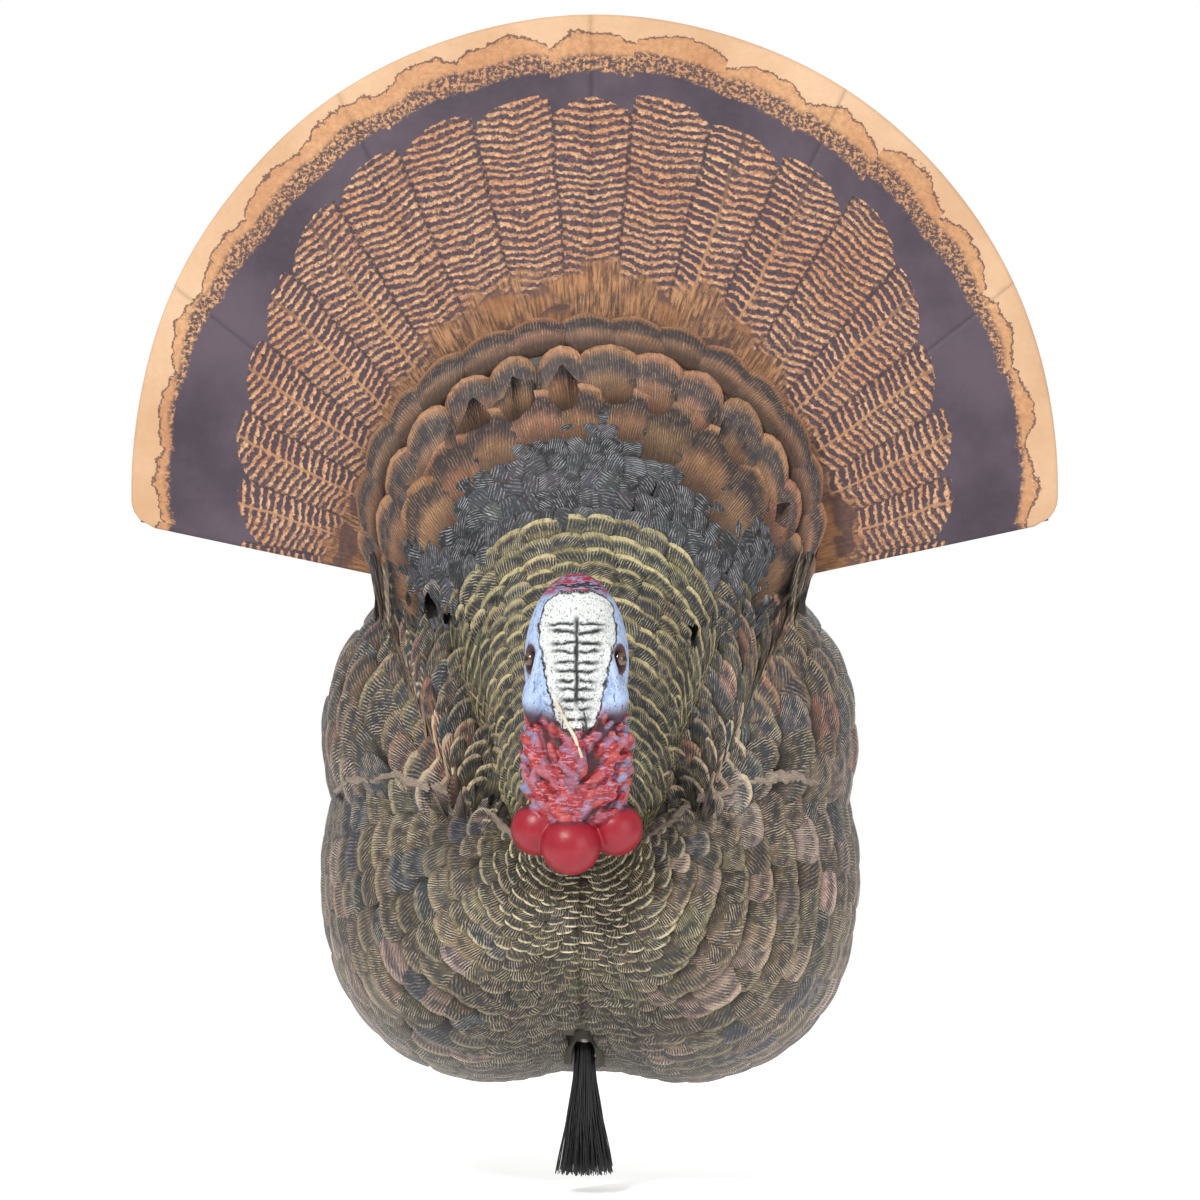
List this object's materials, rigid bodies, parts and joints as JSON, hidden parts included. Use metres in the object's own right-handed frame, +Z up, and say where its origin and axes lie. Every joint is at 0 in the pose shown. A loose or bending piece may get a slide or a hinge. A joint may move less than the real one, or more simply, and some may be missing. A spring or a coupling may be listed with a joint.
{
  "type": "turkey decoy",
  "caption": "Strutting half-body bird decoy: thin moulded front on a spine, folding cloth tail fan, turning head, swinging beard, and a grip tube whose bore takes a ground stake.",
  "frame": {"origin": "centre of the stake bore's mouth, at the lower end of the grip tube", "axes": "+Z up along the grip tube, the bird faces -Y, +X to the viewer's right from the front"},
  "size_m": [0.61, 0.28, 0.752],
  "materials": {
    "feather_shell": "moulded feathers, painted bronze, olive and slate",
    "head_skin": "painted white, blue and red, satin",
    "eye": "polished",
    "frame_plastic": "fine moulded texture",
    "knob_plastic": "fine moulded texture",
    "nylon": "natural nylon",
    "steel": "zinc plated",
    "grip_tube": "drawn, satin",
    "grip_rubber": "matt",
    "ferrule": "crimped",
    "bristle": "nylon bristles",
    "rib": "pultruded fibreglass",
    "fan_cloth": "printed polyester"
  },
  "bodies": {
    "decoy_body": {"body_shell": "feather_shell", "spine": "frame_plastic", "crossbar": "frame_plastic", "spine_screws": "steel", "crossbar_screws": "steel", "rib_middle": "rib", "pivot_spacer": "nylon", "clamp_washer": "steel", "pivot_bolt": "steel", "mast_screw": "steel", "mast_spacer": "nylon", "grip_tube": "grip_tube", "tube_cap": "frame_plastic", "grip_sleeve": "grip_rubber", "lower_bracket": "frame_plastic", "upper_bracket": "frame_plastic", "bracket_screws": "steel", "head_washer": "steel", "beard_pin": "steel"},
    "fan_right_1": {"rib_right_1": "rib", "gore_right_1": "fan_cloth"},
    "fan_right_2": {"rib_right_2": "rib", "gore_right_2": "fan_cloth"},
    "fan_right_3": {"rib_right_3": "rib", "gore_right_3": "fan_cloth"},
    "fan_left_1": {"rib_left_1": "rib", "gore_left_1": "fan_cloth"},
    "fan_left_2": {"rib_left_2": "rib", "gore_left_2": "fan_cloth"},
    "fan_left_3": {"rib_left_3": "rib", "gore_left_3": "fan_cloth"},
    "head": {"head": "head_skin", "left_eye": "eye", "right_eye": "eye", "head_stud": "steel"},
    "head_knob": {"head_knob": "knob_plastic"},
    "fan_knob": {"fan_knob": "knob_plastic"},
    "stake_screw": {"stake_screw": "knob_plastic"},
    "beard": {"beard_ferrule": "ferrule", "beard_bristles": "bristle"}
  },
  "joints": [
    {"name": "fan_right_fold_1", "type": "hinge", "parent": "decoy_body", "child": "fan_right_1", "pos_m": [0, -0.0349, 0.296], "axis": [0, -1, 0], "range_deg": [0, 23], "deforming": ["gore_right_1"]},
    {"name": "fan_right_fold_2", "type": "hinge", "parent": "fan_right_1", "child": "fan_right_2", "pos_m": [0, -0.0303, 0.296], "axis": [0, -1, 0], "range_deg": [0, 23], "deforming": ["gore_right_2"]},
    {"name": "fan_right_fold_3", "type": "hinge", "parent": "fan_right_2", "child": "fan_right_3", "pos_m": [0, -0.0257, 0.296], "axis": [0, -1, 0], "range_deg": [0, 23], "deforming": ["gore_right_3"]},
    {"name": "fan_left_fold_1", "type": "hinge", "parent": "decoy_body", "child": "fan_left_1", "pos_m": [0, -0.0326, 0.296], "axis": [0, 1, 0], "range_deg": [0, 23], "deforming": ["gore_left_1"]},
    {"name": "fan_left_fold_2", "type": "hinge", "parent": "fan_left_1", "child": "fan_left_2", "pos_m": [0, -0.028, 0.296], "axis": [0, 1, 0], "range_deg": [0, 23], "deforming": ["gore_left_2"]},
    {"name": "fan_left_fold_3", "type": "hinge", "parent": "fan_left_2", "child": "fan_left_3", "pos_m": [0, -0.0234, 0.296], "axis": [0, 1, 0], "range_deg": [0, 23], "deforming": ["gore_left_3"]},
    {"name": "head_turn", "type": "hinge", "parent": "decoy_body", "child": "head", "pos_m": [0, -0.1845, 0.205], "axis": [0, -1, 0], "range_deg": [-15, 15]},
    {"name": "head_knob_turn", "type": "hinge", "parent": "head", "child": "head_knob", "pos_m": [0, -0.146, 0.205], "axis": [0, 1, 0], "continuous": true},
    {"name": "fan_knob_turn", "type": "hinge", "parent": "decoy_body", "child": "fan_knob", "pos_m": [0, -0.013, 0.296], "axis": [0, 1, 0], "continuous": true},
    {"name": "stake_screw_turn", "type": "hinge", "parent": "decoy_body", "child": "stake_screw", "pos_m": [0, 0.015, 0.03], "axis": [0, 1, 0], "continuous": true},
    {"name": "beard_swing", "type": "hinge", "parent": "decoy_body", "child": "beard", "pos_m": [0, -0.126, 0.039], "axis": [1, 0, 0], "range_deg": [-18, 18]}
  ],
  "couplings": [
    {"joint": "fan_right_fold_2", "follows": "fan_right_fold_1", "ratio": 1},
    {"joint": "fan_right_fold_3", "follows": "fan_right_fold_1", "ratio": 1},
    {"joint": "fan_left_fold_2", "follows": "fan_left_fold_1", "ratio": 1},
    {"joint": "fan_left_fold_3", "follows": "fan_left_fold_1", "ratio": 1}
  ]
}
